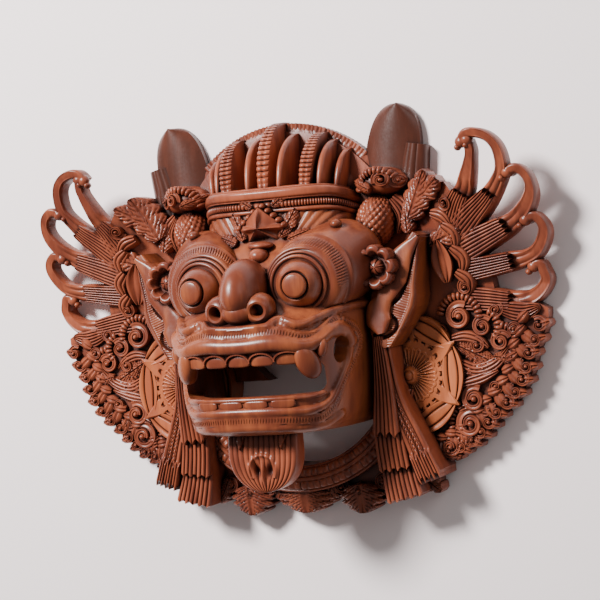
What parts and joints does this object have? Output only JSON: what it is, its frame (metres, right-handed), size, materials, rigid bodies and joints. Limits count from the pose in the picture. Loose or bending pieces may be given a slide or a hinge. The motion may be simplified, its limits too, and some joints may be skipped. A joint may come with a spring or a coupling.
{
  "type": "barong mask",
  "caption": "Hollow carved wooden Barong mask with bulging eyes, an open toothed mouth, a finned crest, ears, sashes and a pierced ruff of feathers.",
  "frame": {"origin": "centre of the footprint of the mask lying on its back, in the plane of its flat back", "axes": "+X to the viewer's right across the face, +Y up the face from the chin to the crest, +Z out of the back towards the nose"},
  "size_m": [0.3962, 0.2902, 0.1208],
  "materials": {
    "wood": "satin"
  },
  "bodies": {
    "root": {"barong_mask": "wood"}
  },
  "joints": []
}
